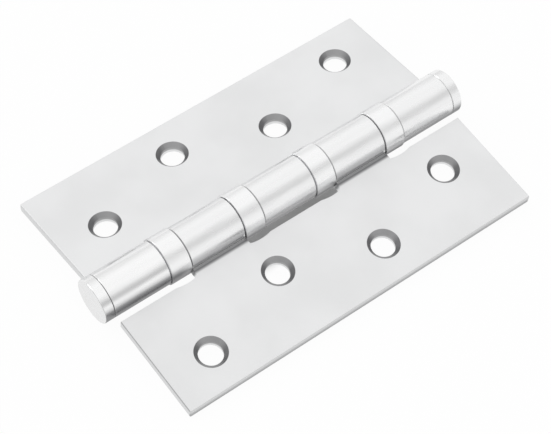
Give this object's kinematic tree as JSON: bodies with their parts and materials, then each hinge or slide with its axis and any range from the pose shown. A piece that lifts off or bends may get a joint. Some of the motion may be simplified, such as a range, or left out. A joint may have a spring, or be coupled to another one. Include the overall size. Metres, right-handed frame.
{
  "type": "butt hinge",
  "caption": "Steel butt hinge with two curled leaves, countersunk screw holes, ball bearing rings between the knuckles and flat caps on the barrel.",
  "frame": {"origin": "on the pin's axis, halfway along it, which is also the centre of the whole part", "axes": "+Y along the pin, +X towards the leaf with fewer knuckles, +Z the side of the countersinks"},
  "size_m": [0.0696, 0.1054, 0.012],
  "materials": {
    "leaf_chrome": "satin chrome plate, finely brushed",
    "cap_chrome": "satin chrome plate",
    "cover_chrome": "satin chrome plate",
    "pin_steel": "drawn steel",
    "race_steel": "hardened and ground",
    "ball_steel": "polished",
    "retainer_brass": "stamped"
  },
  "bodies": {
    "back_leaf": {"leaf_three_knuckle": "leaf_chrome", "hinge_pin": "pin_steel", "near_cap": "cap_chrome", "far_cap": "cap_chrome", "bearing_1_cover": "cover_chrome", "bearing_1_fixed_race": "race_steel", "bearing_2_cover": "cover_chrome", "bearing_2_fixed_race": "race_steel", "bearing_3_cover": "cover_chrome", "bearing_3_fixed_race": "race_steel", "bearing_4_cover": "cover_chrome", "bearing_4_fixed_race": "race_steel"},
    "front_leaf": {"leaf_two_knuckle": "leaf_chrome", "bearing_1_moving_race": "race_steel", "bearing_2_moving_race": "race_steel", "bearing_3_moving_race": "race_steel", "bearing_4_moving_race": "race_steel"},
    "bearing_1_set": {"bearing_1_retainer": "retainer_brass", "bearing_1_balls": "ball_steel"},
    "bearing_2_set": {"bearing_2_retainer": "retainer_brass", "bearing_2_balls": "ball_steel"},
    "bearing_3_set": {"bearing_3_retainer": "retainer_brass", "bearing_3_balls": "ball_steel"},
    "bearing_4_set": {"bearing_4_retainer": "retainer_brass", "bearing_4_balls": "ball_steel"}
  },
  "joints": [
    {"name": "leaf_swing", "type": "hinge", "parent": "back_leaf", "child": "front_leaf", "pos_m": [0, 0, 0], "axis": [0, -1, 0], "range_deg": [-124, 190.7]},
    {"name": "bearing_1_roll", "type": "hinge", "parent": "back_leaf", "child": "bearing_1_set", "pos_m": [0, 0, 0], "axis": [0, -1, 0], "range_deg": [-62.5, 95.5]},
    {"name": "bearing_2_roll", "type": "hinge", "parent": "back_leaf", "child": "bearing_2_set", "pos_m": [0, 0, 0], "axis": [0, -1, 0], "range_deg": [-62.5, 95.5]},
    {"name": "bearing_3_roll", "type": "hinge", "parent": "back_leaf", "child": "bearing_3_set", "pos_m": [0, 0, 0], "axis": [0, -1, 0], "range_deg": [-62.5, 95.5]},
    {"name": "bearing_4_roll", "type": "hinge", "parent": "back_leaf", "child": "bearing_4_set", "pos_m": [0, 0, 0], "axis": [0, -1, 0], "range_deg": [-62.5, 95.5]}
  ],
  "couplings": [
    {"joint": "bearing_1_roll", "follows": "leaf_swing", "ratio": 0.5},
    {"joint": "bearing_2_roll", "follows": "leaf_swing", "ratio": 0.5},
    {"joint": "bearing_3_roll", "follows": "leaf_swing", "ratio": 0.5},
    {"joint": "bearing_4_roll", "follows": "leaf_swing", "ratio": 0.5}
  ]
}
